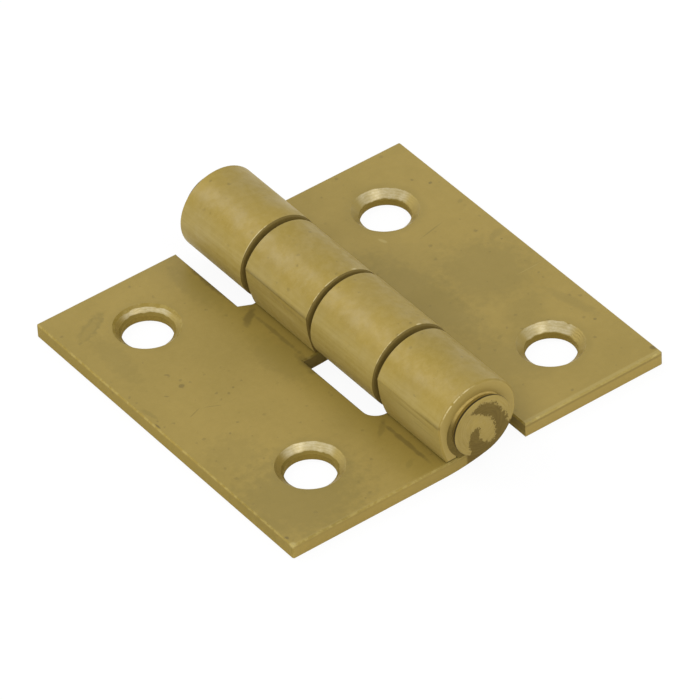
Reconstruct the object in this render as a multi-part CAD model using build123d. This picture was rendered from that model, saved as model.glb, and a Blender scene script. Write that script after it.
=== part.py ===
from build123d import *
from math import asin, atan2, cos, degrees, radians, sin, tan
import os

# Butt hinge of pressed sheet, laid open and flat. All sizes are in millimetres.
# The origin lies on the back plane, below the middle of the pin. +Y runs along the pin to the far end,
# +X points to the right leaf and +Z points away from the surface that the hinge is screwed to.

# Leaves
hinge_length = 40.0
left_leaf_width = 21.0      # from the pin's axis to a leaf's outer edge
right_leaf_width = 21.3
sheet = 1.6                 # thickness of the flat leaf
corner_radius = 0.2         # at the four outer corners
edge_easing = 0.14          # width of the small slope along the sheet's edges, flat and rolled
right_leaf_float = -0.2     # how far the right leaf has slid along the pin

# Pin
pin_diameter = 5.9
pin_head_diameter = 6.5     # each end is staked, so that it spreads a little over its knuckle
pin_proud = 0.85            # how far each end stands out past the leaves
pin_head_rim = 0.12         # rounding of a staked end
pin_neck = 0.08             # from the outermost knuckle to where its head starts to spread
running_clearance = 0.05    # radial, in the knuckles that turn on the pin
grip_clearance = 0.01       # radial, in the knuckles that hold the pin

# Knuckles
knuckle_count = 4
knuckle_gap = 0.5           # between neighbouring knuckles
curl_sheet = 1.42           # the sheet thins a little where it is rolled
bore_opening = 0.4          # how much wider than the pin's bore the last half turn is inside
left_tail_opening = 0.25    # and outside
right_tail_opening = 0.05
knuckle_rise = 0.45         # from the back plane to the underside of a knuckle
bend_start = 4.0            # where the leaf leaves the back plane, measured from the axis
crease_direction = 160.0    # where rolling ended, as seen from the middle of the last half turn
end_lean = 10.2             # slant of the nearly flat end that follows, against the upright
end_bulge = 0.2             # how far that end bulges from a straight line
tip_gap = 0.15              # from the leaf's face to the end of the curl
tip_blunting = 0.3          # how far the inner lip of that end is worn back
left_cut_shift = -0.35      # how far the cuts between knuckles lie off their even spacing
right_cut_shift = -0.1

# Slots between the knuckles
left_slot_edge = 5.0        # from the axis to the leaf's edge behind the other leaf's knuckle
right_slot_edge = 5.25
root_radius = 1.5           # rounded corner where a slot meets the strip beside it
root_slope_width = 1.2      # the same corner at the end of the left leaf is cut off by a slope
root_slope_length = 0.6

# Screw holes
hole_diameter = 4.92
countersink_diameter = 6.56
countersink_angle = 90.0
hole_spacing = 25.3
left_hole_line = 13.2       # from the pin's axis to the row of holes
right_hole_line = 14.1
left_hole_shift = 0.5       # how far a row's middle lies from the leaf's middle
right_hole_shift = 0.1

# Sizes that follow
pin_radius = pin_diameter / 2
pin_height = knuckle_rise + pin_radius + running_clearance + curl_sheet
knuckle_length = (hinge_length - (knuckle_count - 1) * knuckle_gap) / knuckle_count
clear_of_knuckle = 2 * pin_height + left_tail_opening + right_tail_opening


def knuckle_span(index):
    # Near and far end of one place in the row of knuckles, counted from the far end
    far_end = hinge_length / 2 - index * (knuckle_length + knuckle_gap)
    return far_end - knuckle_length, far_end


def easing_arc(face_height, circle_radius):
    # Radius of the arc that leaves a flat face at bend_start and runs on into a circle about the pin,
    # and the direction from the arc's centre in which the two meet
    drop = pin_height - face_height
    radius = (bend_start**2 + drop**2 - circle_radius**2) / (2 * (drop - circle_radius))
    return radius, degrees(atan2(drop - radius, bend_start))


def tail_height(circle_radius, radius):
    # Centre height of the wider arc that runs on from the top of a circle about the pin
    return pin_height + circle_radius - radius


def on_arc(centre_height, radius, direction):
    return radius * cos(radians(direction)), centre_height + radius * sin(radians(direction))


def leaf_section(leaf_width, bore_radius, tail_opening):
    # Outline of one sheet seen along the pin, with its flat part on the -X side. The sheet runs under the
    # pin, up the far side and over the top. Past a crease its end is nearly flat, because the last of a
    # strip can't be rolled, and comes down on the sheet's own face.
    outer_radius = bore_radius + curl_sheet
    outer_ease, outer_meet = easing_arc(0, outer_radius)
    inner_ease, inner_meet = easing_arc(sheet, bore_radius)
    outer_tail = outer_radius + tail_opening
    outer_tail_height = tail_height(outer_radius, outer_tail)
    inner_tail = bore_radius + bore_opening
    inner_tail_height = tail_height(bore_radius, inner_tail)
    tip_height = sheet + tip_gap
    crease = on_arc(outer_tail_height, outer_tail, crease_direction)
    outer_tip = (crease[0] + (crease[1] - tip_height) * tan(radians(end_lean)), tip_height)
    lip_direction = 180 + degrees(asin((inner_tail_height - tip_height - tip_blunting) / inner_tail))
    lip = on_arc(inner_tail_height, inner_tail, lip_direction)
    inner_tip = (lip[0] - tip_blunting / 2, tip_height)
    with BuildSketch(Plane.XZ) as section:
        with BuildLine():
            Line((-leaf_width, 0), (-bend_start, 0))
            CenterArc((-bend_start, outer_ease), outer_ease, -90, 90 + outer_meet)
            CenterArc((0, pin_height), outer_radius, outer_meet, 90 - outer_meet)
            CenterArc((0, outer_tail_height), outer_tail, 90, crease_direction - 90)
            SagittaArc(crease, outer_tip, -end_bulge)
            Line(outer_tip, inner_tip)
            Line(inner_tip, lip)
            CenterArc((0, inner_tail_height), inner_tail, lip_direction, 90 - lip_direction)
            CenterArc((0, pin_height), bore_radius, 90, inner_meet - 90)
            CenterArc((-bend_start, sheet + inner_ease), inner_ease, inner_meet, -90 - inner_meet)
            Line((-bend_start, sheet), (-leaf_width, sheet))
            Line((-leaf_width, sheet), (-leaf_width, 0))
        make_face()
    return section.sketch


def slot(index, slot_edge, cut_shift, root):
    # Space that a leaf leaves for the other leaf's knuckle at one place in the row. It is cut out of the flat
    # sheet, so its eased corner, on the side named by root, is in the sheet alone and not in the knuckle.
    # At either end of the row the slot is open.
    near_end, far_end = knuckle_span(index)
    past_end = 2 * knuckle_gap
    near_end = near_end - knuckle_gap + cut_shift if index < knuckle_count - 1 else near_end - past_end
    far_end = far_end + knuckle_gap + cut_shift if index > 0 else far_end + past_end
    with BuildSketch() as space:
        with BuildLine():
            eased_end, plain_end = (near_end, far_end) if root == "near" else (far_end, near_end)
            inward = 1 if root == "near" else -1
            open_ended = index in (0, knuckle_count - 1)
            if open_ended:
                root_start = (-slot_edge, eased_end + inward * root_slope_length)
                root_end = (-slot_edge + root_slope_width, eased_end)
                Line(root_start, root_end)
            else:
                root_start = (-slot_edge, eased_end + inward * root_radius)
                root_end = (-slot_edge + root_radius, eased_end)
                RadiusArc(root_start, root_end, -inward * root_radius)
            Line(root_end, (clear_of_knuckle, eased_end))
            Line((clear_of_knuckle, eased_end), (clear_of_knuckle, plain_end))
            Line((clear_of_knuckle, plain_end), (-slot_edge, plain_end))
            Line((-slot_edge, plain_end), root_start)
        make_face()
    between = Plane.XY.offset(sheet + tip_gap / 2)
    in_sheet = split(extrude(space.sketch, amount=clear_of_knuckle, both=True), between, keep=Keep.BOTTOM)
    with BuildSketch(between) as square:
        with Locations(((clear_of_knuckle - slot_edge) / 2, (near_end + far_end) / 2)):
            Rectangle(clear_of_knuckle + slot_edge, far_end - near_end)
    return [in_sheet, extrude(square.sketch, amount=clear_of_knuckle)]


def screw_holes(hole_line, hole_shift):
    # Two straight holes, each widened by a cone that opens at the face
    cone_depth = (countersink_diameter - hole_diameter) / 2 / tan(radians(countersink_angle / 2))
    hole = Cylinder(hole_diameter / 2, 2 * sheet)
    cone = Pos(0, 0, sheet - cone_depth / 2) * Cone(hole_diameter / 2, countersink_diameter / 2, cone_depth)
    rows = [hole_shift - hole_spacing / 2, hole_shift + hole_spacing / 2]
    return [Pos(-hole_line, y, 0) * (hole + cone) for y in rows]


def is_cut(face):
    # A face that was cut straight through the sheet stands upright everywhere
    return all(abs(face.normal_at(u, 0.5).Z) < 1e-6 for u in (0.1, 0.5, 0.9))


def ease_edges(body):
    # Takes the sharpness off every edge where a cut face meets the sheet's own flat or rolled faces
    skin = [face for face in body.faces() if not is_cut(face) and face.geom_type != GeomType.CONE]
    skin_edges = [edge for face in skin for edge in face.edges()]
    cut_edges = [edge for face in body.faces() if is_cut(face) for edge in face.edges()]
    return chamfer([edge for edge in cut_edges if edge in skin_edges], edge_easing)


def leaf(own_knuckles, width, bore_radius, tail_opening, slot_edge, cut_shift, root, hole_line, hole_shift):
    # A leaf with its flat part on the -X side
    body = extrude(leaf_section(width, bore_radius, tail_opening), amount=hinge_length / 2, both=True)
    for index in range(knuckle_count):
        if index not in own_knuckles:
            for space in slot(index, slot_edge, cut_shift, root):
                body -= space
    for hole in screw_holes(hole_line, hole_shift):
        body -= hole
    corners = body.edges().filter_by(Axis.Z).group_by(Axis.X)[0]
    return ease_edges(fillet(corners, corner_radius))


def left_leaf():
    return leaf(
        (1, 3), left_leaf_width, pin_radius + grip_clearance, left_tail_opening,
        left_slot_edge, left_cut_shift, "near", left_hole_line, left_hole_shift,
    )


def right_leaf():
    flat = leaf(
        (0, 2), right_leaf_width, pin_radius + running_clearance, right_tail_opening,
        right_slot_edge, right_cut_shift, "far", right_hole_line, right_hole_shift,
    )
    return Pos(0, right_leaf_float, 0) * mirror(flat, about=Plane.YZ)


def hinge_pin():
    # A plain rod with both ends staked. Its half section is turned about the axis.
    half = hinge_length / 2
    end = half + pin_proud
    head_radius = pin_head_diameter / 2
    with BuildSketch() as section:
        with BuildLine():
            Polyline(
                (0, -end), (head_radius, -end), (pin_radius, -half - pin_neck),
                (pin_radius, half + pin_neck), (head_radius, end), (0, end), close=True,
            )
        make_face()
        fillet(section.vertices().group_by(Axis.X)[-1], pin_head_rim)
    return Pos(0, 0, pin_height) * revolve(section.sketch, Axis.Y)


os.makedirs("parts", exist_ok=True)
nodes = {"leaf_left": left_leaf(), "leaf_right": right_leaf(), "pin": hinge_pin()}
for name, solid in nodes.items():
    export_step(solid, f"parts/{name}.step")
    print(name, round(solid.volume, 2), solid.bounding_box())
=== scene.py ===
import math
import bmesh
import bpy
import numpy as np
from mathutils import Matrix, Vector


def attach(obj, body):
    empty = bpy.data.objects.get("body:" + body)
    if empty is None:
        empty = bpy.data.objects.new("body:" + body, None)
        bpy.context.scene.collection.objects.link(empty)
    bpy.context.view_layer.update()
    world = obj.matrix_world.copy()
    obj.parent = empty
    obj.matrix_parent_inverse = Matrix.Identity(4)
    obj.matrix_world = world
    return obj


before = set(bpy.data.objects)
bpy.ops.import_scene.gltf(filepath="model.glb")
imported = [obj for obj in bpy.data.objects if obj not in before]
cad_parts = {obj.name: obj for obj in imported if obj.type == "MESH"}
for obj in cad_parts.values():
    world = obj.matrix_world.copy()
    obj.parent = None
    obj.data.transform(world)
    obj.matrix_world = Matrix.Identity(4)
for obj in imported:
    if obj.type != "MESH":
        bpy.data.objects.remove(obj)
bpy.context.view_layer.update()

# The scene is in metres. The pin runs along Y, the left leaf lies on the -X side and the leaves' undersides
# are at height 0. Sizes in the dictionaries are in millimetres, unless a note says otherwise.
mm = 0.001
sheet = 1.6
pinHeight = 4.87
print("loaded", sorted(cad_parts))


# Helpers for node trees

origin = (0.0, 0.0, 0.0)
leastLength = 0.01   # keeps a division by a distance from running away at its middle


def camelCase(words):
    parts = words.split()
    return parts[0].lower() + "".join(part.capitalize() for part in parts[1:])


def byName(sockets):
    # The sockets that are in use, by their names in camelCase
    return {camelCase(socket.name): socket for socket in sockets if socket.enabled and socket.name}


def feed(tree, socket, value):
    # Links an output to the input, or sets the input's own value. A colour is given as three shares.
    if isinstance(value, bpy.types.NodeSocket):
        tree.links.new(value, socket)
    else:
        socket.default_value = (*value, 1) if socket.type == "RGBA" else value


def addNode(tree, kind, **values):
    # Makes one node. A name that ends in a digit is the input at that place, a name that an input has is that
    # input, and any other is a property of the node.
    made = tree.nodes.new(kind)
    for name, value in values.items():
        if name[-1].isdigit():
            feed(tree, made.inputs[int(name[-1])], value)
        elif name in byName(made.inputs):
            feed(tree, byName(made.inputs)[name], value)
        else:
            setattr(made, name, value)
    return made


def calc(tree, operation, a, b=0.0, c=0.0):
    # One sum on numbers
    return addNode(tree, "ShaderNodeMath", operation=operation, in0=a, in1=b, in2=c).outputs[0]


def product(tree, first, *others):
    # All the numbers multiplied
    for other in others:
        first = calc(tree, "MULTIPLY", first, other)
    return first


def largest(tree, first, *others):
    # The largest of the numbers
    for other in others:
        first = calc(tree, "MAXIMUM", first, other)
    return first


def opposite(tree, mask):
    # 1 less the mask
    return calc(tree, "SUBTRACT", 1.0, mask)


def plus(tree, mask, start, share):
    # Start plus share times the mask
    return calc(tree, "MULTIPLY_ADD", mask, share, start)


def addUp(tree, start, masks, shares):
    # Start plus the sum of each named mask times its share
    for name, share in shares.items():
        start = plus(tree, masks[name], start, share)
    return start


def farFrom(tree, x, y):
    # Distance of the point (x, y) from (0, 0)
    return calc(tree, "SQRT", calc(tree, "ADD", product(tree, x, x), product(tree, y, y)))


def vectorCalc(tree, operation, *vectors):
    # One sum on vectors
    inputs = {f"in{index}": vector for index, vector in enumerate(vectors)}
    outputs = addNode(tree, "ShaderNodeVectorMath", operation=operation, **inputs).outputs
    return outputs["Value" if operation == "LENGTH" else "Vector"]


def split(tree, vector):
    # The vector's X, Y and Z
    return addNode(tree, "ShaderNodeSeparateXYZ", vector=vector).outputs


def between(tree, value, start, end):
    # 0 where value is at start, 1 where it is at end, with a soft step between them
    ramp = addNode(tree, "ShaderNodeMapRange", interpolation_type="SMOOTHSTEP", value=value, fromMin=start,
                   fromMax=end)
    return ramp.outputs["Result"]


def noise(tree, position, scale, detail, roughness=0.5, output="Fac"):
    # Soft noise about 0.5, with scale as its bumps for each unit of position
    made = addNode(tree, "ShaderNodeTexNoise", vector=position, scale=scale, detail=detail,
                   roughness=roughness)
    return made.outputs[output]


def stretch(tree, position, scale, turn=0.0):
    # Position turned about Z and scaled on each axis, so that noise read there is drawn out
    return addNode(tree, "ShaderNodeMapping", vector=position, rotation=(0, 0, turn), scale=scale).outputs[0]


def over(tree, tone, mask, strength, colour):
    # Lays a colour over the tone, as much as mask times strength
    mixed = addNode(tree, "ShaderNodeMix", data_type="RGBA", in0=product(tree, mask, strength), in6=tone,
                    in7=colour)
    return mixed.outputs[2]   # sockets 6, 7 and 2 are the ones for colours


def layOver(tree, tone, layers, masks, values):
    # Lays colours over the tone in turn, each as much as its mask times its strength. A strength that is a
    # name is looked up in the values, like the colour.
    for mask, strength, colour in layers:
        tone = over(tree, tone, masks[mask], values.get(strength, strength), values[colour])
    return tone


def startGroup(name, inputs, outputs):
    # An empty shader group. Inputs are {name: own value}, where three numbers make a vector, and outputs are
    # the names of numbers. Gives the group, and its inputs and outputs by name.
    group = bpy.data.node_groups.new(name, "ShaderNodeTree")
    for label, own in inputs.items():
        kind = "NodeSocketFloat" if isinstance(own, float) else "NodeSocketVector"
        group.interface.new_socket(name=label, in_out="INPUT", socket_type=kind).default_value = own
    for label in outputs:
        group.interface.new_socket(name=label, in_out="OUTPUT", socket_type="NodeSocketFloat")
    given, out = group.nodes.new("NodeGroupInput").outputs, group.nodes.new("NodeGroupOutput").inputs
    return group, byName(given), byName(out)


def useGroup(tree, group, **values):
    # Places a group in a node tree and gives its outputs by name. Inputs left out keep their own values.
    return byName(addNode(tree, "ShaderNodeGroup", node_tree=group, **values).outputs)


def startMaterial(name):
    # A material, its node tree, and its object's own coordinates, in millimetres, with its normal
    material = bpy.data.materials.new(name)
    material.use_nodes = True
    tree = material.node_tree
    place = tree.nodes.new("ShaderNodeTexCoord").outputs
    return material, tree, stretch(tree, place["Object"], (1 / mm,) * 3), place["Normal"]


def dressShader(tree, values, height, inputs):
    # Feeds the material's own shader: the height as small bumps, and the other inputs as they are named
    bump = addNode(tree, "ShaderNodeBump", height=height, distance=values["bumpHeight"] * mm,
                   strength=values["bumpStrength"])
    inputs = {"Normal": bump.outputs[0], "Specular IOR Level": values["shine"], **inputs}
    for name, value in inputs.items():
        feed(tree, tree.nodes["Principled BSDF"].inputs[name], value)


def coat(name, material):
    # Gives a node of the part this material alone
    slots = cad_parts[name].data.materials
    slots.clear()
    slots.append(material)


# Tarnish, which every finish here uses

tarnishValues = {
    "cloudSize": 11.0,
    "blotchSize": 3.2,
    "speckSize": 0.14,
    "mottleScale": 1.3,                 # bumps in a millimetre, like every scale below
    "clouds": (2.5, 0.5, 0.33, 0.67),   # detail, roughness, where the mask is 0 and where 1
    "blotches": (5.0, 0.6, 0.34, 0.68),
    "mottle": (5.0, 0.68, 0.36, 0.68),
    "drawn": (4.0, 0.6, 0.34, 0.68),
    "drawnStretch": (2.4, 0.1, 2.4),
    "grain": (9.0, 3.0, 0.7),           # scale, detail and roughness
    "cellScale": 1.1,
    "cellBend": (3.0, 2.0, 0.35),       # scale and detail of the noise that shifts the cells, and how far
    "leastSpeck": 0.5,                  # the smallest, in speck sizes; the largest is 1 more
    "speckEdge": (1.4, 0.4),            # where a dot is 0 and where 1, in its own size
    "speckChance": (0.35, 0.95),
    "scratches": (2.0, 0.66, 0.76),     # detail, where the mask is 0 and where 1
    "scratchTurns": (0.5, 2.3),         # in radians
    "scratchStretch": (0.16, 6.0, 0.3),
}


def makeTarnish():
    # Clouds and blotches are slow and quicker noise, mottle is small soft noise and grain the finest. Specks
    # are dots round the points of a cell pattern, most of them left out. Drawn is noise stretched along the
    # pin, and scratches are the rare peaks of two noises stretched crosswise to each other.
    values = tarnishValues
    group, given, out = startGroup("tarnish", {
        "Position": origin, "Cloud size": values["cloudSize"], "Blotch size": values["blotchSize"],
        "Speck size": values["speckSize"],
    }, ["Clouds", "Blotches", "Mottle", "Specks", "Grain", "Drawn", "Scratches"])
    position = given["position"]
    fields = {
        "clouds": (position, calc(group, "DIVIDE", 1.0, given["cloudSize"])),
        "blotches": (position, calc(group, "DIVIDE", 1.0, given["blotchSize"])),
        "mottle": (position, values["mottleScale"]),
        "drawn": (stretch(group, position, values["drawnStretch"]), 1.0),
    }
    for name, (field, scale) in fields.items():
        detail, roughness, start, end = values[name]
        feed(group, out[name], between(group, noise(group, field, scale, detail, roughness), start, end))
    feed(group, out["grain"], noise(group, position, *values["grain"]))

    bendScale, bendDetail, bend = values["cellBend"]
    wander = noise(group, position, bendScale, bendDetail, output="Color")
    bent = vectorCalc(group, "MULTIPLY_ADD", wander, (bend,) * 3, position)
    cells = addNode(group, "ShaderNodeTexVoronoi", vector=bent, scale=values["cellScale"]).outputs
    chance = addNode(group, "ShaderNodeSeparateColor", color=cells["Color"]).outputs
    size = product(group, given["speckSize"], calc(group, "ADD", chance[1], values["leastSpeck"]))
    reach = calc(group, "DIVIDE", calc(group, "DIVIDE", cells["Distance"], values["cellScale"]), size)
    dots = product(group, between(group, reach, *values["speckEdge"]),
                   between(group, chance[0], *values["speckChance"]))
    feed(group, out["specks"], dots)

    detail, start, end = values["scratches"]
    lines = []
    for turn in values["scratchTurns"]:
        hair = noise(group, stretch(group, position, values["scratchStretch"], turn), 1.0, detail)
        lines.append(between(group, hair, start, end))
    feed(group, out["scratches"], largest(group, *lines))
    return group


# Countersunk screw holes

holeValues = {
    "spacing": 25.3,
    "hole": 4.92,
    "rim": 6.56,
    "wornSide": 58.0,           # the side of a cone where a highlight is painted, in degrees from +X
    "worn": (0.5, 0.82),        # cosine of the angle from there, where the painted highlight is 0 and where 1
    "chatter": (1.7, 3.0),      # scale and detail of the noise that makes the lines wavy, and how far
    "waver": 0.22,
    "wallStart": (0.03, 0.12),  # outwards from the land
    "wallEnd": (-0.03, 0.04),   # inwards from the rim, like the ring around
    "wallHeight": (0.68, 0.76),
    "around": (-1.1, 0.0),
    "aroundHeight": (1.2, 1.5),
    "ringScale": 34.0,          # radians in a millimetre, and how many the noise throws them off
    "ringWaver": 12.0,
}


def makeTurnedHole():
    # How far a point is from the nearer of two hole axes, both at one X and spaced evenly about a middle: the
    # cone's wall, the straight land below it and the fine rings that the cutter left are bands of that. Noise
    # makes both ends of the wall wavy. The far hole may have a narrower rim of its own. The wall, and the
    # darker ring around it, lie above a height of their own. Highlit is the side of the cone towards
    # wornSide, where a highlight is painted.
    values = holeValues
    group, given, out = startGroup("turnedHole", {
        "Position": origin, "Row": 0.0, "Middle": 0.0, "Far rim": values["rim"], "Land width": 0.0,
    }, ["Wall", "Land", "Rings", "Around", "Worn"])
    x, y, z = split(group, given["position"])
    across = calc(group, "SUBTRACT", x, given["row"])
    fromMiddle = calc(group, "SUBTRACT", y, given["middle"])
    along = calc(group, "SUBTRACT", calc(group, "ABSOLUTE", fromMiddle), values["spacing"] / 2)
    reach = farFrom(group, across, along)
    side = math.radians(values["wornSide"])
    outwards = product(group, along, calc(group, "SIGN", fromMiddle))
    towards = calc(group, "MULTIPLY_ADD", outwards, math.sin(side), product(group, across, math.cos(side)))
    towards = calc(group, "DIVIDE", towards, largest(group, reach, leastLength))
    feed(group, out["worn"], between(group, towards, *values["worn"]))

    farther = calc(group, "GREATER_THAN", fromMiddle, 0.0)
    rim = plus(group, calc(group, "SUBTRACT", given["farRim"], values["rim"]), values["rim"], farther)
    inwards = calc(group, "SUBTRACT", product(group, rim, 0.5), reach)
    chatter = noise(group, given["position"], *values["chatter"])
    waver = product(group, calc(group, "SUBTRACT", chatter, 0.5), values["waver"])
    past = calc(group, "SUBTRACT", calc(group, "SUBTRACT", reach, values["hole"] / 2), given["landWidth"])
    pastLand = between(group, calc(group, "ADD", past, waver), *values["wallStart"])
    inside = between(group, calc(group, "ADD", inwards, waver), *values["wallEnd"])
    inCone = between(group, z, *values["wallHeight"])
    feed(group, out["wall"], product(group, inside, inCone, pastLand))
    feed(group, out["land"], product(group, opposite(group, pastLand), inside))
    phase = plus(group, reach, product(group, chatter, values["ringWaver"]), values["ringScale"])
    feed(group, out["rings"], calc(group, "SINE", phase))
    around = between(group, inwards, *values["around"])
    feed(group, out["around"], product(group, around, between(group, z, *values["aroundHeight"])))
    return group


# Spots on the plating

smudgeValues = {
    "softness": 0.6,         # share of its radius over which a spot fades out
    "unevenness": 0.9,
    "noise": (1.3, 3.0),     # scale and detail
}


def makeSmudge():
    # An oval spot: 1 in its middle, 0 past its edge, which noise makes uneven. Turn is in radians.
    values = smudgeValues
    group, given, out = startGroup("smudge", {
        "Position": origin, "Centre": origin, "Size": (1.0, 1.0, 1.0), "Turn": 0.0,
        "Softness": values["softness"], "Unevenness": values["unevenness"],
    }, ["Spot"])
    offset = vectorCalc(group, "SUBTRACT", given["position"], given["centre"])
    turned = addNode(group, "ShaderNodeVectorRotate", rotation_type="Z_AXIS", vector=offset,
                     angle=product(group, given["turn"], -1.0)).outputs[0]
    reach = vectorCalc(group, "LENGTH", vectorCalc(group, "DIVIDE", turned, given["size"]))
    uneven = calc(group, "SUBTRACT", noise(group, given["position"], *values["noise"]), 0.5)
    reach = plus(group, uneven, reach, given["unevenness"])
    feed(group, out["spot"], between(group, reach, 1.0, opposite(group, given["softness"])))
    return group


# Bare steel on the barrel's ends

stainValues = {
    "start": 125.0,          # where it begins, in degrees round the pin from +X
    "sweep": 319.0,          # how far it runs clockwise
    "inner": ((0, 2.25), (0.06, 1.6), (0.14, 1.1), (0.32, 1.0), (0.43, 1.25), (0.51, 1.7), (0.58, 2.45),
              (0.62, 2.4), (0.67, 1.85), (0.745, 1.2), (0.765, 0.6), (0.9, 0.35), (1, 0.7)),
    "outer": ((0, 2.35), (0.1, 2.55), (0.33, 2.3), (0.38, 2.6), (0.45, 2.9), (0.51, 6), (0.75, 6),
              (0.77, 2.8), (0.85, 1.95), (0.92, 1.3), (1, 0.7)),
    "reach": 6.0,            # the largest radius above
    "fray": 2.3,
    "ragged": (3.4, 7.0, 0.78),    # scale, detail and roughness of the noise that frays it
    "edge": (-0.06, 0.08),
    "brushing": (1.3, 5.0, 0.7),   # the same of the brush strokes
    "strokes": (0.34, 0.68),       # where they are 0 and where 1
    "strokeTurns": 4.5,            # how quickly they change from the middle outwards
}


def curveThrough(tree, value, points, top):
    # Straight lines through points of (share along, height), read at value
    made = addNode(tree, "ShaderNodeFloatCurve", value=value)
    curve = made.mapping.curves[0]
    curve.points[0].location = (points[0][0], points[0][1] / top)
    curve.points[1].location = (points[-1][0], points[-1][1] / top)
    for along, height in points[1:-1]:
        curve.points.new(along, height / top)
    for point in curve.points:
        point.handle_type = "VECTOR"
    made.mapping.update()
    return product(tree, made.outputs[0], top)


def makeEndStain():
    # Bare brown steel on the barrel's ends, where staking broke the plating. It begins at one turning round
    # the pin and runs clockwise as seen from outside: at each turning it lies between an inner and an outer
    # radius, which two curves give, and noise frays it. The strokes are noise that changes quickest outwards.
    values = stainValues
    group, given, out = startGroup("endStain", {
        "Position": origin, "Height": pinHeight, "Fray": values["fray"],
    }, ["Bare", "Strokes"])
    x, y, z = split(group, given["position"])
    side = product(group, calc(group, "SIGN", y), -1.0, x)
    up = calc(group, "SUBTRACT", z, given["height"])
    reach = farFrom(group, side, up)
    turn = calc(group, "DEGREES", calc(group, "ARCTAN2", up, side))
    travelled = calc(group, "FLOORED_MODULO", calc(group, "SUBTRACT", values["start"], turn), 360.0)
    share = calc(group, "DIVIDE", travelled, values["sweep"])
    ragged = calc(group, "SUBTRACT", noise(group, given["position"], *values["ragged"]), 0.5)
    frayed = plus(group, ragged, reach, given["fray"])
    inner = curveThrough(group, share, values["inner"], values["reach"])
    outer = curveThrough(group, share, values["outer"], values["reach"])
    past = between(group, calc(group, "SUBTRACT", frayed, inner), *values["edge"])
    short = between(group, calc(group, "SUBTRACT", outer, frayed), *values["edge"])
    feed(group, out["bare"], product(group, past, short, calc(group, "LESS_THAN", share, 1.0)))

    away = largest(group, reach, leastLength)
    turned = addNode(group, "ShaderNodeCombineXYZ", x=calc(group, "DIVIDE", side, away),
                     y=calc(group, "DIVIDE", up, away), z=product(group, reach, values["strokeTurns"]))
    strokes = noise(group, turned.outputs[0], *values["brushing"])
    feed(group, out["strokes"], between(group, strokes, *values["strokes"]))
    return group


tarnish, turnedHole, smudge, endStain = makeTarnish(), makeTurnedHole(), makeSmudge(), makeEndStain()
print("made the shared finishes")


# Plated sheet of the two leaves

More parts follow.
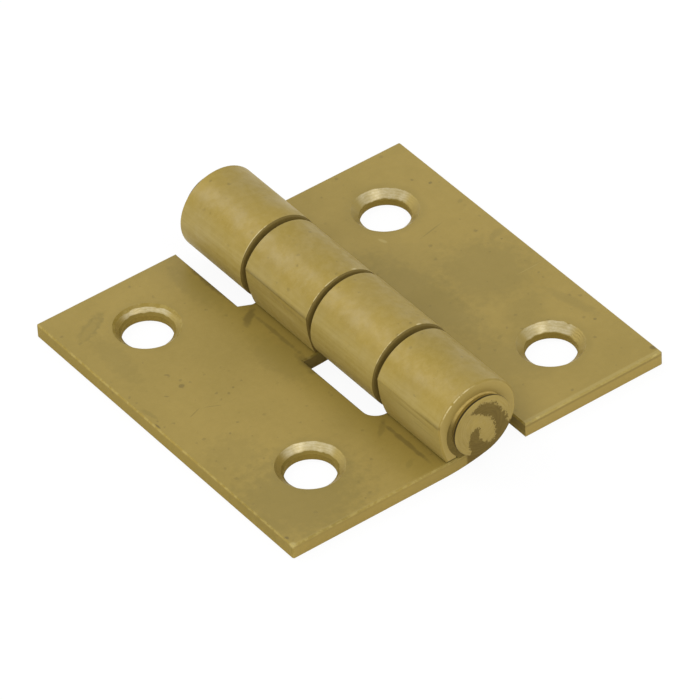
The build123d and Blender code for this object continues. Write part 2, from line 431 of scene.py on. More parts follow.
sheetValues = {
    "brass": (0.328, 0.232, 0.040),
    "darkBrass": (0.216, 0.158, 0.026),
    "paleBrass": (0.46, 0.37, 0.13),
    # rubbed bright edges, with a painted highlight
    "rubbed": (0.72, 0.62, 0.35),
    # dark brown of real stains, also painted as shade in the holes, slots, crease and under the burr
    "stain": (0.10, 0.068, 0.012),
    "bareSteel": (0.155, 0.10, 0.018),
    # painted shade inside the gaps between knuckles and on the slopes round them, and under the pin's head
    "gapBrown": (0.25, 0.178, 0.043),
    "grime": (0.15, 0.105, 0.025),
    # paler tones painted as light on the faces that look along the pin, the ring faces the most
    "cutBrass": (0.365, 0.265, 0.066),
    "endBrass": (0.40, 0.298, 0.085),
    "turnedBrass": (0.33, 0.245, 0.065),
    # the colour of the highlight painted on the holes' cones
    "wornBrass": (0.70, 0.63, 0.44),
    "creaseHeight": 6.2,           # the line on the left leaf's knuckles where rolling ended
    "metal": (0.5, 0.1),           # on the sheet, and how much more on the cones
    "roughness": 0.62,
    "rougher": {"blotches": 0.04, "grain": 0.08, "wall": -0.25, "gap": 0.2},
    "film": 0.55,                  # thin clear film left by the plating bath
    "filmRoughness": 0.3,
    "flatFilm": (0.93, -0.15),     # its share on flat sheet, and how much the clouds change that
    "rolledFilm": 0.25,            # its share on the barrel, and how much each mask adds
    "rolledFilmBy": {"blotches": 0.7, "mottle": 0.25},
    "matt": {"end": 0.5, "gap": 1.0, "side": 0.8, "rim": 1.0, "land": 1.0, "arris": 0.6, "bare": 1.0,
             "slotWall": 1.0},     # how much of the film is missing there
    "shine": 0.35,
    "bumps": {"grain": 0.3, "dents": 1.0, "specks": -0.5, "drawnFlank": 0.8, "cutRings": 0.2},
    "dents": (0.15, 0.3),          # on flat sheet, and how much more on the barrel, like the next two
    "paleMottle": (0.03, 0.04),
    "darkMottle": (0.08, 0.04),
    "streaks": (0.5, 0.5),         # everywhere on a flank, and how much more where it is drawn out
    "litSide": (0.03, 0.42),       # painted light on either flank, and how much more on the left one
    "polish": (0.35, 0.2, 0.45),   # painted highlight on a wall's highlit side: everywhere, how much more on the rings and in the mottle
    "rimStart": (-0.02, 0.02),     # a knuckle's rubbed rim with its painted highlight, along the pin from the place in leafValues
    "rimEnd": (0.10, 0.05),
    "bumpHeight": 0.03,
    "bumpStrength": 0.4,
    # A mask, what it goes by, where it is 0 and where 1. A facing is 1 for a face that looks along the axis.
    "bands": {
        "barrel": ("height", sheet + 0.08, sheet + 0.16),
        "shortOfEnds": ("fromMiddle", 19.6, 19.5),
        "atEnds": ("fromMiddle", 19.5, 19.6),
        "besideBarrel": ("fromPin", 5.3, 5.2),
        "clearOfBarrel": ("fromPin", 4.6, 4.9),
        "slotEdge": ("fromPin", 4.9, 4.95),
        "nearBarrel": ("fromPin", 9.5, 4.8),
        "knuckleEnd": ("facingY", 0.82, 0.92),
        "uprightX": ("facingX", 0.86, 0.95),
        "uprightY": ("facingY", 0.86, 0.95),
        "flankX": ("facingX", 0.7, 0.95),
        "leansX": ("facingX", 0.45, 0.6),
        "stopsX": ("facingX", 0.9, 0.8),
        "leansY": ("facingY", 0.42, 0.6),
        "stopsY": ("facingY", 0.9, 0.8),
        "nearEdge": ("y", -19.62, -19.78),
        "burrHeight": ("height", 1.38, 1.5),
        "underTop": ("height", 1.48, 1.40),
        "underFoot": ("height", 1.12, 1.26),
        "paleTop": ("height", 0.62, 0.52),       # stripe along the slots' walls, left pale outside their painted shade
        "paleFoot": ("height", 0.15, 0.22),
        "landTop": ("height", 0.74, 0.84),
        "creaseLine": ("fromCrease", 0.28, 0.05),
        "creaseSide": ("x", -3.9, -4.1),
        "creaseFar": ("y", -2.0, 1.0),
        "creaseNear": ("y", -15.5, -19.0),
        "rimRight": ("x", 0.6, -1.6),
        "rimLeft": ("x", -4.3, -3.4),
        "rimHeight": ("height", 5.5, 6.5),
        "rimFacing": ("facingY", 0.88, 0.8),
        "ringFace": ("y", -19.7, -19.8),
        "ringSide": ("x", -1.45, -1.15),
        "coarse": ("grain", 0.45, 0.75),
        "patchy": ("mottle", 0.2, 0.8),
        "broken": ("mottle", 0.0, 0.6),
        "ringLight": ("rings", -1.0, 1.0),
    },
    # What lies over the brass, in this order: mask, strength (a name is in leafValues) and colour
    "plainLayers": [
        ("clouds", 0.3, "darkBrass"),
        ("blotches", 0.09, "darkBrass"),
        ("coarse", 0.16, "darkBrass"),
        ("paleMottle", 1.0, "paleBrass"),
        ("darkMottle", 1.0, "darkBrass"),
        ("specks", 0.34, "stain"),
        ("scratches", 0.12, "darkBrass"),
        # painted shade, darker towards the barrel
        ("closeBy", "shade", "darkBrass"),
    ],
    "wornLayers": [   # the same over the smudges
        # pale streaks drawn along the knuckles' flanks, with painted light on the left flank
        ("streaks", 1.0, "paleBrass"),
        # a dark line along the crease, partly a mark of the rolling die and partly painted shade in it
        ("crease", "creased", "stain"),
        ("around", 0.25, "darkBrass"),
        ("wall", 0.8, "turnedBrass"),
        # a highlight painted on one side of each hole's cone
        ("polished", 0.52, "wornBrass"),
        # painted shade on the holes' lands, and on the lowest part of their cones
        ("land", 0.2, "stain"),
        ("upperLand", 0.3, "stain"),
        ("side", "sideShade", "darkBrass"),
        # painted light: the faces that look along the pin, and the knuckles' ring faces most, made paler
        ("end", "endShade", "cutBrass"),
        ("ringEnd", 0.7, "endBrass"),
        ("rubbedArris", 0.3, "paleBrass"),
        # a highlight painted on the near edge's burr, and shade painted in a line under it
        ("burr", "burred", "paleBrass"),
        ("underBurr", "burred", "stain"),
        # painted shade on the slots' walls beside the knuckles, but for a stripe
        ("slotWall", 0.62, "stain"),
        # painted shade on the knuckles' ends inside the gaps and on the slopes round them
        ("gap", 0.95, "gapBrown"),
        ("rim", 0.85, "grime"),
        # knuckle rims rubbed bright, with a highlight painted on their upper left side
        ("rubbedRim", 0.55, "rubbed"),
        ("bare", 0.9, "bareSteel"),
    ],
}

leafValues = {
    "leaf_left": {
        "row": -13.2, "middle": 0.5, "farRim": 6.05, "landWidth": 0.14, "shift": (0.0, 0.0, 0.0),
        "shade": 0.342, "creased": 0.4, "stained": 1.0, "burred": 0.1, "sideShade": 0.25, "endShade": 0.6,
        "rims": (0.03, -20.0),   # where a knuckle's near edge is rubbed bright, with a highlight painted on it
        "smudges": [             # tone, centre, size, turn, strength
            ("darkBrass", (-17.5, 16.2, 1.6), (2.9, 0.95, 2.0), 0.49, 0.95),
            ("brass", (-17.7, 16.1, 1.6), (2.5, 0.65, 2.0), 0.49, 0.55),
            ("darkBrass", (-18.2, 11.0, 1.6), (1.6, 5.5, 2.0), -0.1, 0.3),
            ("stain", (-15.76, 4.18, 1.6), (0.34, 0.3, 1.0), 0.0, 0.5),
            ("stain", (-15.35, 4.9, 1.6), (0.26, 0.24, 1.0), 0.0, 0.3),
            ("stain", (-15.95, 6.35, 1.6), (0.36, 0.16, 1.0), -0.7, 0.35),
            ("stain", (-17.7, 3.87, 1.6), (0.3, 0.14, 1.0), -0.7, 0.35),
            ("stain", (-12.2, 1.0, 1.6), (0.14, 0.14, 1.0), 0.0, 0.4),
            ("stain", (-16.2, -4.0, 1.6), (0.15, 0.15, 1.0), 0.0, 0.4),
            ("stain", (-17.1, 0.35, 1.6), (0.95, 0.07, 1.0), 0.34, 0.3),
            ("stain", (-15.2, 0.05, 1.6), (1.1, 0.07, 1.0), -0.5, 0.3),
            ("darkBrass", (-20.35, 2.9, 1.6), (0.35, 1.2, 1.0), 0.2, 0.5),
            ("darkBrass", (-6.6, 14.8, 1.6), (1.6, 5.4, 2.0), 0.0, 0.4),
            ("stain", (-5.1, 14.6, 1.6), (0.5, 4.4, 0.5), 0.0, 0.6),
            ("stain", (-5.2, 8.1, 1.6), (1.9, 0.55, 1.5), 0.73, 0.5),
            ("darkBrass", (-6.4, 1.5, 1.6), (2.4, 5.5, 2.0), 0.0, 0.4),
            ("stain", (-4.9, -1.0, 1.6), (0.8, 2.6, 1.0), 0.0, 0.4),
            ("stain", (-5.2, -12.3, 1.6), (1.6, 0.4, 1.5), 0.76, 0.25),
            # painted shade at the root of knuckle 4
            ("darkBrass", (-6.0, -16.6, 1.6), (1.8, 3.8, 2.0), 0.0, 0.1),
            # painted light on knuckle 4's left flank
            ("paleBrass", (-4.4, -16.0, 4.0), (1.2, 4.5, 2.2), 0.0, 0.4),
            ("paleBrass", (-4.3, -16.4, 5.8), (1.0, 3.4, 0.16), 0.0, 0.5),
            ("stain", (-4.3, -16.0, 5.35), (1.0, 3.6, 0.16), 0.0, 0.35),
            ("stain", (-4.3, -17.4, 4.5), (1.0, 2.4, 0.14), 0.0, 0.25),
            ("stain", (-4.3, 3.0, 5.5), (1.0, 4.2, 0.25), 0.0, 0.3),
            ("paleBrass", (-4.3, 4.0, 4.6), (1.0, 4.6, 0.45), 0.0, 0.35),
            # painted shadow where the rolled ends of knuckles 4 and 2 meet the leaf, this and the next
            ("stain", (-4.6, -15.4, 1.6), (0.32, 4.8, 0.6), 0.0, 0.5),
            ("stain", (-4.6, 4.5, 1.6), (0.3, 4.6, 0.6), 0.0, 0.4),
            ("darkBrass", (-6.2, -17.8, 1.6), (1.0, 0.4, 1.0), 0.6, 0.5),
            ("darkBrass", (-16.5, -15.0, 1.6), (8.5, 7.5, 2.0), 0.2, 0.6),
            ("darkBrass", (-17.5, -6.5, 1.6), (3.5, 3.5, 2.0), 0.2, 0.25),
            ("rubbed", (1.5, 0.2, 9.15), (0.5, 0.16, 0.5), 0.0, 0.45),
            ("stain", (-20.7, -18.7, 1.6), (0.22, 0.3, 0.6), 0.3, 0.6),
            ("stain", (-20.75, 1.0, 1.6), (0.14, 0.55, 0.6), 0.0, 0.6),
            # a highlight painted on the near left corner
            ("paleBrass", (-20.85, -19.8, 1.55), (0.5, 0.5, 0.35), 0.0, 0.6),
        ],
    },
    "leaf_right": {
        "row": 14.1, "middle": -0.1, "farRim": 6.56, "landWidth": 0.0, "shift": (31.0, 7.0, 4.0),
        "shade": 0.225, "creased": 0.0, "stained": 0.0, "burred": 0.3, "sideShade": 0.0, "endShade": 0.95,
        "rims": (10.205, -10.045),
        "smudges": [
            # painted shade beside the barrel
            ("darkBrass", (9.0, 0.0, 1.6), (3.6, 11.0, 2.0), 0.1, 0.5),
            ("darkBrass", (16.0, -0.5, 1.6), (6.0, 6.0, 2.0), -0.4, 0.45),
            ("darkBrass", (15.2, -7.4, 1.6), (3.6, 2.2, 2.0), 0.3, 0.25),
            ("darkBrass", (19.4, -9.4, 1.6), (0.8, 4.2, 2.0), 0.25, 0.35),
            ("darkBrass", (20.0, 3.0, 1.6), (1.2, 0.7, 1.0), 0.4, 0.4),
            ("stain", (19.8, 13.0, 1.6), (0.28, 0.24, 1.0), 0.3, 0.5),
            ("darkBrass", (20.3, 9.0, 1.6), (0.5, 0.35, 1.0), 0.5, 0.5),
            ("stain", (19.9, 2.1, 1.6), (0.16, 0.14, 1.0), 0.0, 0.4),
            ("darkBrass", (15.6, 7.3, 1.6), (2.2, 0.1, 1.0), 0.2, 0.6),
            ("darkBrass", (11.0, -9.0, 1.6), (0.5, 0.3, 1.0), 0.2, 0.5),
            ("darkBrass", (10.0, -12.5, 1.6), (2.6, 4.5, 2.0), 0.3, 0.25),
            ("darkBrass", (11.0, 5.0, 1.6), (4.0, 5.0, 2.0), 0.3, 0.2),
            ("paleBrass", (11.1, 9.0, 1.6), (0.22, 0.62, 1.0), 0.35, 0.4),
            ("paleBrass", (19.1, -2.95, 1.6), (1.9, 0.06, 1.0), 0.0, 0.25),
            ("rubbed", (1.2, -9.95, 9.2), (0.4, 0.16, 0.5), 0.0, 0.5),
            ("stain", (19.4, -12.6, 1.6), (0.2, 0.2, 1.0), 0.0, 0.45),
            ("stain", (21.0, -19.2, 1.5), (0.4, 0.4, 0.6), 0.4, 0.6),
            # highlights painted on the near edge, this and the next
            ("paleBrass", (20.5, -20.1, 1.55), (0.4, 0.12, 0.3), 0.0, 0.7),
            ("paleBrass", (6.8, -20.1, 1.55), (0.3, 0.14, 0.3), 0.0, 0.7),
        ],
    },
}


def rimLines(tree, y, values):
    # Thin lines across the pin, each just outside a knuckle's near edge
    lines = []
    for edge in values["rims"]:
        start = between(tree, y, *(edge + step for step in values["rimStart"]))
        end = between(tree, y, *(edge + step for step in values["rimEnd"]))
        lines.append(product(tree, start, end))
    return largest(tree, *lines)


def bandMasks(tree, position, normal, values):
    # Masks by name: those of the shared finishes, and the bands, by where a point is and which way it faces
    shifted = vectorCalc(tree, "ADD", position, values["shift"])
    masks = useGroup(tree, tarnish, position=shifted)
    masks |= useGroup(tree, turnedHole, position=position, row=values["row"], middle=values["middle"],
                      farRim=values["farRim"], landWidth=values["landWidth"])
    masks["steel"] = useGroup(tree, endStain, position=position)["bare"]
    x, y, z = split(tree, position)
    facingX, facingY = split(tree, normal)[:2]
    measures = {
        "x": x, "y": y, "height": z,
        "fromPin": calc(tree, "ABSOLUTE", x), "fromMiddle": calc(tree, "ABSOLUTE", y),
        "facingX": calc(tree, "ABSOLUTE", facingX), "facingY": calc(tree, "ABSOLUTE", facingY),
        "fromCrease": calc(tree, "ABSOLUTE", calc(tree, "SUBTRACT", z, values["creaseHeight"])),
        "grain": masks["grain"], "mottle": masks["mottle"], "rings": masks["rings"],
    }
    for name, (measure, start, end) in values["bands"].items():
        masks[name] = between(tree, measures[measure], start, end)
    masks["flat"] = opposite(tree, masks["barrel"])
    masks["leftward"] = calc(tree, "LESS_THAN", facingX, 0.0)
    masks["rimLine"] = rimLines(tree, y, values)
    return masks


def sheetMasks(tree, position, normal, values):
    # Every mask of a leaf by name: the bands, and products of them. Such are the ends of the knuckles inside
    # the gaps, the small slopes along the edges, the upright cut faces, the burr that the cutter left along
    # the near edge, the walls of the slots beside the knuckles, the flanks and the crease of the rolled
    # barrel, where highlights are painted, and what is rubbed or bare.
    masks = bandMasks(tree, position, normal, values)

    def times(*names):
        return product(tree, *(masks[name] for name in names))

    masks["closeBy"] = times("nearBarrel", "flat")
    masks["gap"] = times("knuckleEnd", "barrel", "shortOfEnds", "besideBarrel")
    masks["slope"] = times("leansY", "stopsY")
    masks["outerSlope"] = times("leansX", "stopsX", "clearOfBarrel")
    masks["anySlope"] = largest(tree, masks["slope"], masks["outerSlope"])
    masks["arris"] = times("anySlope", "flat")
    masks["rim"] = times("slope", "shortOfEnds", "barrel")
    masks["side"] = times("flat", "clearOfBarrel", "uprightX")
    masks["end"] = times("uprightY", "atEnds")
    masks["ringEnd"] = times("end", "barrel")
    masks["burr"] = times("nearEdge", "burrHeight", "flat")
    masks["underBurr"] = times("underTop", "underFoot", "end", "flat")
    masks["offStripe"] = opposite(tree, times("paleTop", "paleFoot"))
    masks["slotWall"] = times("flat", "besideBarrel", "uprightX", "slotEdge", "offStripe")

    clear = opposite(tree, masks["mottle"])
    masks["paleMottle"] = product(tree, masks["mottle"], plus(tree, masks["barrel"], *values["paleMottle"]))
    masks["darkMottle"] = product(tree, clear, plus(tree, masks["barrel"], *values["darkMottle"]))
    masks["dents"] = product(tree, masks["mottle"], plus(tree, masks["barrel"], *values["dents"]))
    masks["flank"] = times("flankX", "barrel")
    masks["drawnFlank"] = times("flank", "drawn")
    masks["streaks"] = product(tree, masks["flank"], plus(tree, masks["drawn"], *values["streaks"]),
                               plus(tree, masks["leftward"], *values["litSide"]))
    masks["creaseRun"] = largest(tree, masks["creaseFar"], masks["creaseNear"])
    masks["crease"] = times("creaseLine", "creaseSide", "creaseRun")

    everywhere, onRings, inMottle = values["polish"]
    polish = plus(tree, masks["mottle"], plus(tree, masks["ringLight"], everywhere, onRings), inMottle)
    masks["polished"] = product(tree, times("wall", "worn"), polish)
    masks["cutRings"] = times("rings", "wall")
    masks["upperLand"] = times("land", "landTop")
    masks["offHole"] = opposite(tree, largest(tree, masks["wall"], masks["land"]))
    masks["rubbedArris"] = times("arris", "patchy", "offHole")
    masks["rimPlace"] = times("rimRight", "rimLeft", "rimHeight", "rimFacing", "barrel")
    masks["rubbedRim"] = times("rimLine", "rimPlace", "broken")
    masks["bare"] = product(tree, times("ringFace", "ringSide", "steel"), values["stained"])
    return masks


def platedSheet(name, values):
    # Brass plating on rolled steel. Its tone follows the clouds and blotches. Painted shade darkens it
    # towards the barrel, in the gaps between knuckles, on the slots' walls, in the holes' lands and under the
    # near edge's burr. It is paler where an edge is rubbed, and painted highlights brighten the burr, the
    # knuckles' upper rims and one side of each hole's cone; the faces that look along the pin are painted
    # paler as light. Along the flanks of the knuckles it is drawn out in streaks, painted lighter on the left
    # flank. The film is missing where it is matt.
    material, tree, position, normal = startMaterial("platedSheet" + name.split("_")[1].capitalize())
    masks = sheetMasks(tree, position, normal, values)
    tone = layOver(tree, values["brass"], values["plainLayers"], masks, values)
    for colour, centre, size, turn, strength in values["smudges"]:
        spot = useGroup(tree, smudge, position=position, centre=centre, size=size, turn=turn)["spot"]
        tone = over(tree, tone, spot, strength, values[colour])
    tone = layOver(tree, tone, values["wornLayers"], masks, values)

    flatFilm = plus(tree, masks["clouds"], *values["flatFilm"])
    rolledFilm = addUp(tree, values["rolledFilm"], masks, values["rolledFilmBy"])
    film = plus(tree, masks["barrel"], flatFilm, calc(tree, "SUBTRACT", rolledFilm, flatFilm))
    matt = largest(tree, *(product(tree, masks[name], share) for name, share in values["matt"].items()))
    dressShader(tree, values, addUp(tree, 0.0, masks, values["bumps"]), {
        "Base Color": tone,
        "Roughness": addUp(tree, values["roughness"], masks, values["rougher"]),
        "Metallic": plus(tree, masks["wall"], *values["metal"]),
        "Coat Weight": product(tree, film, opposite(tree, matt), values["film"]),
        "Coat Roughness": values["filmRoughness"],
    })
    return material


for leafName, ownValues in leafValues.items():
    coat(leafName, platedSheet(leafName, {**sheetValues, **ownValues}))
print("plated the leaves")


# Pin

pinValues = {
    "brass": (0.345, 0.25, 0.05),
    "darkBrass": (0.215, 0.15, 0.028),
    "paleBrass": (0.40, 0.305, 0.10),
    "bareSteel": (0.128, 0.084, 0.015),
    # painted shade on the pin's rod and the side of its head
    "rodBrown": (0.25, 0.178, 0.043),
    "sideBrown": (0.2, 0.14, 0.035),
    "sideBrass": (0.31, 0.222, 0.048),
    "grime": (0.03, 0.02, 0.006),
    "cloudSize": 5.0,
    "blotchSize": 1.4,
    "brushedSteel": 0.45,        # how much of the dark brass is brushed into the bare steel
    "rod": (0.62, 0.42),         # facing along the pin
    "headSide": (19.9, 20.1),    # from the middle along the pin, like the next
    "headRim": (20.5, 20.62),
    "upperSide": (5.0, 7.2),     # height
    "layers": [                  # mask, strength and colour
        ("clouds", 0.35, "darkBrass"),
        ("blotches", 0.3, "darkBrass"),
        ("strokes", 0.5, "paleBrass"),
        ("bare", 0.92, "brushed"),
        # painted shade: the rod in the gaps, the head's side, and a dark line under the head's rim
        ("rod", 1.0, "rodBrown"),
        ("headSide", 1.0, "sideTone"),
        ("headRim", 0.93, "grime"),
    ],
    "metal": 0.55,
    "roughness": 0.58,
    "rougher": {"bare": 0.15, "grain": 0.1},
    "film": 0.35,
    "filmRoughness": 0.36,
    "bareFilm": 0.8,             # how much of the film is missing on the bare steel
    "shine": 0.35,
    "bumps": {"bare": -1.0, "grain": 0.4, "strokes": 0.6},
    "bumpHeight": 0.04,
    "bumpStrength": 0.5,
}


def platedPin(values):
    # Plated like the leaves. The staked ends are brushed, with the plating left on them as a curl about the
    # middle round the bare steel. The rod behind them, which shows in the gaps, is painted brown as shade.
    # The side of the near end's head is painted as shade too: brown below its middle, and above it a brass
    # darkened to match the knuckle's lit face. A dark line of painted shadow lies under the head's rim.
    material, tree, position, normal = startMaterial("platedPin")
    y, z = split(tree, position)[1:]
    outAt = calc(tree, "ABSOLUTE", y)
    rod = between(tree, calc(tree, "ABSOLUTE", split(tree, normal)[1]), *values["rod"])
    masks = {
        **useGroup(tree, tarnish, position=position, cloudSize=values["cloudSize"],
                   blotchSize=values["blotchSize"]),
        **useGroup(tree, endStain, position=position),
        "rod": rod,
        "headSide": product(tree, rod, between(tree, outAt, *values["headSide"])),
        "headRim": product(tree, rod, between(tree, outAt, *values["headRim"])),
    }
    upper = between(tree, z, *values["upperSide"])
    brushed = over(tree, values["bareSteel"], masks["strokes"], values["brushedSteel"], values["darkBrass"])
    sideTone = over(tree, values["sideBrown"], upper, 1.0, values["sideBrass"])
    colours = {**values, "brushed": brushed, "sideTone": sideTone}
    matt = largest(tree, rod, product(tree, masks["bare"], values["bareFilm"]))
    dressShader(tree, values, addUp(tree, 0.0, masks, values["bumps"]), {
        "Base Color": layOver(tree, values["brass"], values["layers"], masks, colours),
        "Roughness": addUp(tree, values["roughness"], masks, values["rougher"]),
        "Metallic": values["metal"],
        "Coat Weight": product(tree, opposite(tree, matt), values["film"]),
        "Coat Roughness": values["filmRoughness"],
    })
    return material


coat("pin", platedPin(pinValues))
print("plated the pin")


# Metal smeared into the crack beside the pin when its near end was staked

smearValues = {
    "body": "fixed_leaf",
    "turns": (12.0, 259.0),    # from and to, in degrees round the pin from +X
    "pinRadius": 2.97,
    "boreHeight": 4.47,        # the knuckle's last half turn is a wider arc about this height
    "boreRadius": 3.36,
    "narrowBore": 2.96,        # and the rest of it lies close to the pin
    "overlap": 0.15,           # how far it spreads onto the knuckle's end
    "face": -20.012,
    "hollow": 0.06,
    "climb": 0.22,             # how far it climbs up the side of the pin
    "depth": 0.5,
    "ripple": 0.03,
    "rippleTurns": (31, 13),   # two waves round the pin, which are multiplied
    "steps": (120, 10),
    # painted shade of the hollow beside the pin; the brass below is lightened as painted light
    "brown": (0.185, 0.13, 0.03),
    "brass": (0.60, 0.45, 0.14),
    "dark": (0.08, 0.055, 0.012),
    "blotchSize": 0.9,
    "brassHeight": (5.6, 7.4),
    "layers": [                # mask, strength and colour
        ("upper", 0.9, "brass"),
        ("mottle", 0.25, "dark"),
    ],
    "metal": 0.3,
    "roughness": 0.65,
    "rougher": {"grain": 0.2},
    "shine": 0.15,
    "bumpHeight": 0.04,
    "bumpStrength": 0.5,
}


def smearSurface(values):
    # Round the pin with the first parameter, from the pin to the knuckle's bore with the second. The front is
    # hollow like a fillet and ripples a little, the back is flat, and both ends run out to nothing.
    count, width = values["steps"]
    share = np.linspace(0, 1, count)
    first, last = np.radians(values["turns"])
    turn = first + share * (last - first)
    offset = pinHeight - values["boreHeight"]
    toBore = -offset * np.sin(turn) + np.sqrt(values["boreRadius"]**2 - (offset * np.cos(turn))**2)
    toBore = np.where(turn < np.pi / 2, values["narrowBore"], toBore) + values["overlap"]
    toSheet = (sheet - pinHeight) / np.minimum(np.sin(turn), -leastLength)
    outer = np.minimum(toBore, np.where(turn > np.pi, toSheet, np.inf))
    across = np.linspace(0, 1, width)
    body = np.sin(np.pi * share)**0.5
    fast, slow = values["rippleTurns"]
    ripple = values["ripple"] * np.sin(fast * turn) * np.sin(slow * turn + 1)
    front = (values["face"] + values["hollow"] * np.sin(np.pi * across)[None, :]
             - values["climb"] * ((1 - across)**2)[None, :] * body[:, None]
             + ripple[:, None] * (across * (1 - across))[None, :])
    back = np.full_like(front, values["face"] + values["depth"])
    radius = values["pinRadius"] + (outer - values["pinRadius"])[:, None] * across[None, :]
    depth = np.concatenate([front, back[:, ::-1]], axis=1)
    radius = np.concatenate([radius, radius[:, ::-1]], axis=1)
    x = radius * np.cos(turn)[:, None]
    z = pinHeight + radius * np.sin(turn)[:, None]
    return np.stack([x, depth, z], axis=-1) * mm


def gridFaces(rows, around):
    # Four-sided faces between the points of a grid that is closed round its second direction
    row, column = np.meshgrid(np.arange(rows - 1), np.arange(around), indexing="ij")
    nextColumn = (column + 1) % around
    corners = [row * around + column, (row + 1) * around + column, (row + 1) * around + nextColumn,
               row * around + nextColumn]
    return np.stack(corners, axis=-1).reshape(-1, 4).tolist()


def addObject(name, points, faces, material):
    # A mesh object of points in metres, linked to the scene
    mesh = bpy.data.meshes.new(name)
    mesh.from_pydata(points.reshape(-1, 3).tolist(), [], faces)
    mesh.materials.append(material)
    made = bpy.data.objects.new(name, mesh)
    bpy.context.scene.collection.objects.link(made)
    return made


def smearedSteel(values):
    # Dull brown below, painted as shade in the hollow beside the pin, and a pale brass above the pin's
    # middle, where the plating was carried along, lightened as painted light
    material, tree, position = startMaterial("smearedSteel")[:3]
    masks = useGroup(tree, tarnish, position=position, blotchSize=values["blotchSize"])
    masks["upper"] = between(tree, split(tree, position)[2], *values["brassHeight"])
    dressShader(tree, values, masks["mottle"], {
        "Base Color": layOver(tree, values["brown"], values["layers"], masks, values),
        "Roughness": addUp(tree, values["roughness"], masks, values["rougher"]),
        "Metallic": values["metal"],
    })
    return material


def makeSmear():
    # The surface closed with a face over each end, smooth, with its faces turned outwards
    points = smearSurface(smearValues)
    count, around = points.shape[:2]
    last = (count - 1) * around
    faces = [*gridFaces(count, around), list(range(around)), list(range(last, last + around))[::-1]]
    smear = addObject("stakingSmear", points, faces, smearedSteel(smearValues))
    build = bmesh.new()
    build.from_mesh(smear.data)
    bmesh.ops.recalc_face_normals(build, faces=build.faces)
    build.to_mesh(smear.data)
    build.free()
    smear.data.shade_smooth()
    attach(smear, smearValues["body"])


makeSmear()
print("made the smear beside the pin")


# Floor, light and camera

studioValues = {
    "floorTone": (0.93, 0.925, 0.91),
    "mirroredTone": (0.78, 0.73, 0.62),   # what the metal's reflections see of the floor
    "shadowLift": 0.93,       # how much lighter the camera sees the floor's shadows
    "floorRadius": 1.5,       # in metres, like the next three
    "floorHub": 0.03,
    "floorHeight": -0.00006,
    "nearLight": 0.00022,     # a ray this short comes from the underside and passes, so that this is lit
    "floorGrid": (12, 96),    # rings and spokes
    "roomTone": (0.86, 0.87, 0.88),
    "roomLight": 1.15,
    "lights": [               # azimuth and elevation in degrees, distance and size in metres, power
        ("keyLight", (-28, 44), 0.9, 0.5, 2.25),
        ("cameraLight", (178, 44), 1.0, 0.3, 1.4),
        ("sideLight", (-116, 24), 1.0, 0.5, 1.5),
    ],
}


def mixShaders(tree, factor, first, second):
    # The second shader over the first by factor
    return addNode(tree, "ShaderNodeMixShader", in0=factor, in1=first, in2=second).outputs[0]


def paleFloor(values):
    # A matt white that the camera sees with its shadows lifted. The metal's reflections see a darker, warmer
    # tone. From below it is clear, and it lets pass what light goes to the underside of the leaves.
    material = bpy.data.materials.new("paleFloor")
    material.use_nodes = True
    tree = material.node_tree
    tree.nodes.clear()
    path = tree.nodes.new("ShaderNodeLightPath").outputs
    white = addNode(tree, "ShaderNodeBsdfDiffuse", color=values["floorTone"]).outputs[0]
    glow = addNode(tree, "ShaderNodeEmission", color=(1, 1, 1), strength=1.0).outputs[0]
    warm = addNode(tree, "ShaderNodeBsdfDiffuse", color=values["mirroredTone"]).outputs[0]
    clear = tree.nodes.new("ShaderNodeBsdfTransparent").outputs[0]
    lifted = mixShaders(tree, product(tree, path["Is Camera Ray"], values["shadowLift"]), white, glow)
    mirrored = mixShaders(tree, path["Is Glossy Ray"], lifted, warm)
    short = calc(tree, "LESS_THAN", path["Ray Length"], values["nearLight"])
    short = product(tree, short, opposite(tree, path["Is Camera Ray"]))
    behind = tree.nodes.new("ShaderNodeNewGeometry").outputs["Backfacing"]
    mixed = mixShaders(tree, largest(tree, short, behind), mirrored, clear)
    addNode(tree, "ShaderNodeOutputMaterial", surface=mixed)
    return material


def makeFloor():
    # A flat disc: the radius grows with the first parameter, the angle with the second
    rings, spokes = studioValues["floorGrid"]
    radii = np.linspace(studioValues["floorHub"], studioValues["floorRadius"], rings)
    radius, turn = np.meshgrid(radii, np.arange(spokes) / spokes * 2 * math.pi, indexing="ij")
    x, y = radius * np.cos(turn), radius * np.sin(turn)
    points = np.stack([x, y, np.full_like(x, studioValues["floorHeight"])], axis=-1)
    faces = [*gridFaces(rings, spokes), list(range(spokes))]
    floor = addObject("floor", points, faces, paleFloor(studioValues))


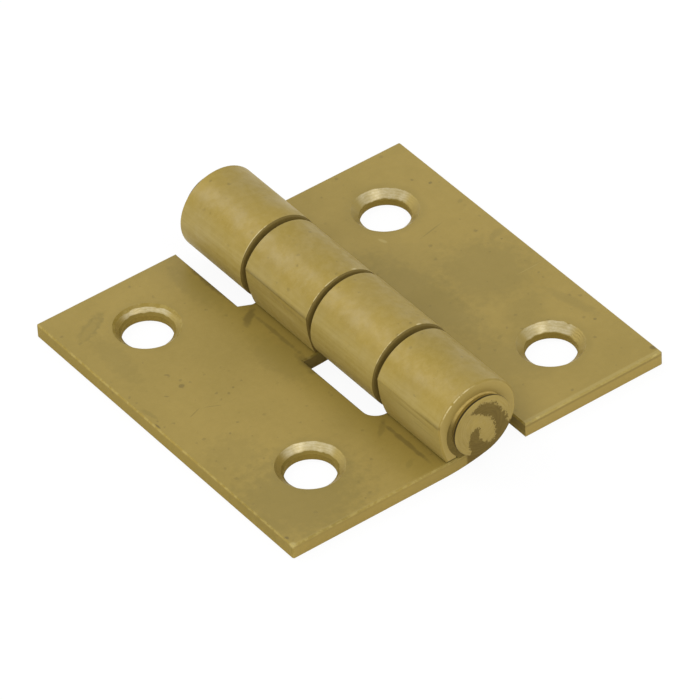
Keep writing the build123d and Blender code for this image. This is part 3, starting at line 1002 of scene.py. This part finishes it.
def makeLights():
    # Each light is a square panel that faces the object from its own direction
    for name, (azimuth, elevation), distance, size, power in studioValues["lights"]:
        a, e = math.radians(azimuth), math.radians(elevation)
        towards = Vector((math.sin(a) * math.cos(e), math.cos(a) * math.cos(e), math.sin(e)))
        lamp = bpy.data.lights.new(name, "AREA")
        lamp.shape, lamp.size, lamp.energy = "SQUARE", size, power
        panel = bpy.data.objects.new(name, lamp)
        facing = towards.to_track_quat("Z", "Y").to_matrix().to_4x4()
        panel.matrix_world = Matrix.Translation(towards * distance) @ facing
        bpy.context.scene.collection.objects.link(panel)


def lightRoom():
    # A plain pale room, even all round
    world = bpy.data.worlds.new("paleRoom")
    world.use_nodes = True
    background = world.node_tree.nodes["Background"]
    background.inputs[0].default_value = (*studioValues["roomTone"], 1)
    background.inputs[1].default_value = studioValues["roomLight"]
    bpy.context.scene.world = world


cameraValues = {
    "azimuth": -35.016513,
    "elevation": 40.493283,
    "roll": -3.0,
    "nearness": 0.00151346636,   # one over the distance to the origin, in millimetres
    "pixelsPerMillimetre": 10.797587,
    "middle": (346.536437, 350.849157),
    "width": 700,
    "sensor": 36.0,
    "clip": (0.01, 10),          # in metres
}


def makeCamera():
    # The camera looks at the origin from its direction, turned by its roll. Its lens gives the measured
    # pixels per millimetre at that distance, and its shift puts the origin at the measured pixel.
    values = cameraValues
    a, e, roll = (math.radians(values[name]) for name in ("azimuth", "elevation", "roll"))
    back = Vector((math.sin(a) * math.cos(e), -math.cos(a) * math.cos(e), math.sin(e)))
    right = (-back).cross(Vector((0, 0, 1))).normalized()
    up = right.cross(-back)
    turnedRight = math.cos(roll) * right + math.sin(roll) * up
    turnedUp = -math.sin(roll) * right + math.cos(roll) * up
    data = bpy.data.cameras.new("camera")
    camera = bpy.data.objects.new("camera", data)
    bpy.context.scene.collection.objects.link(camera)
    axes = Matrix((turnedRight, turnedUp, back)).transposed().to_4x4()
    camera.matrix_world = Matrix.Translation(back / values["nearness"] * mm) @ axes
    data.sensor_width = values["sensor"]
    data.lens = values["pixelsPerMillimetre"] / values["nearness"] * values["sensor"] / values["width"]
    half = values["width"] / 2
    data.shift_x = (half - values["middle"][0]) / values["width"]
    data.shift_y = (values["middle"][1] - half) / values["width"]
    data.clip_start, data.clip_end = values["clip"]
    bpy.context.scene.camera = camera


makeFloor()
makeLights()
lightRoom()
makeCamera()
bpy.context.scene.view_settings.view_transform = "Standard"
print("set the floor, lights and camera")
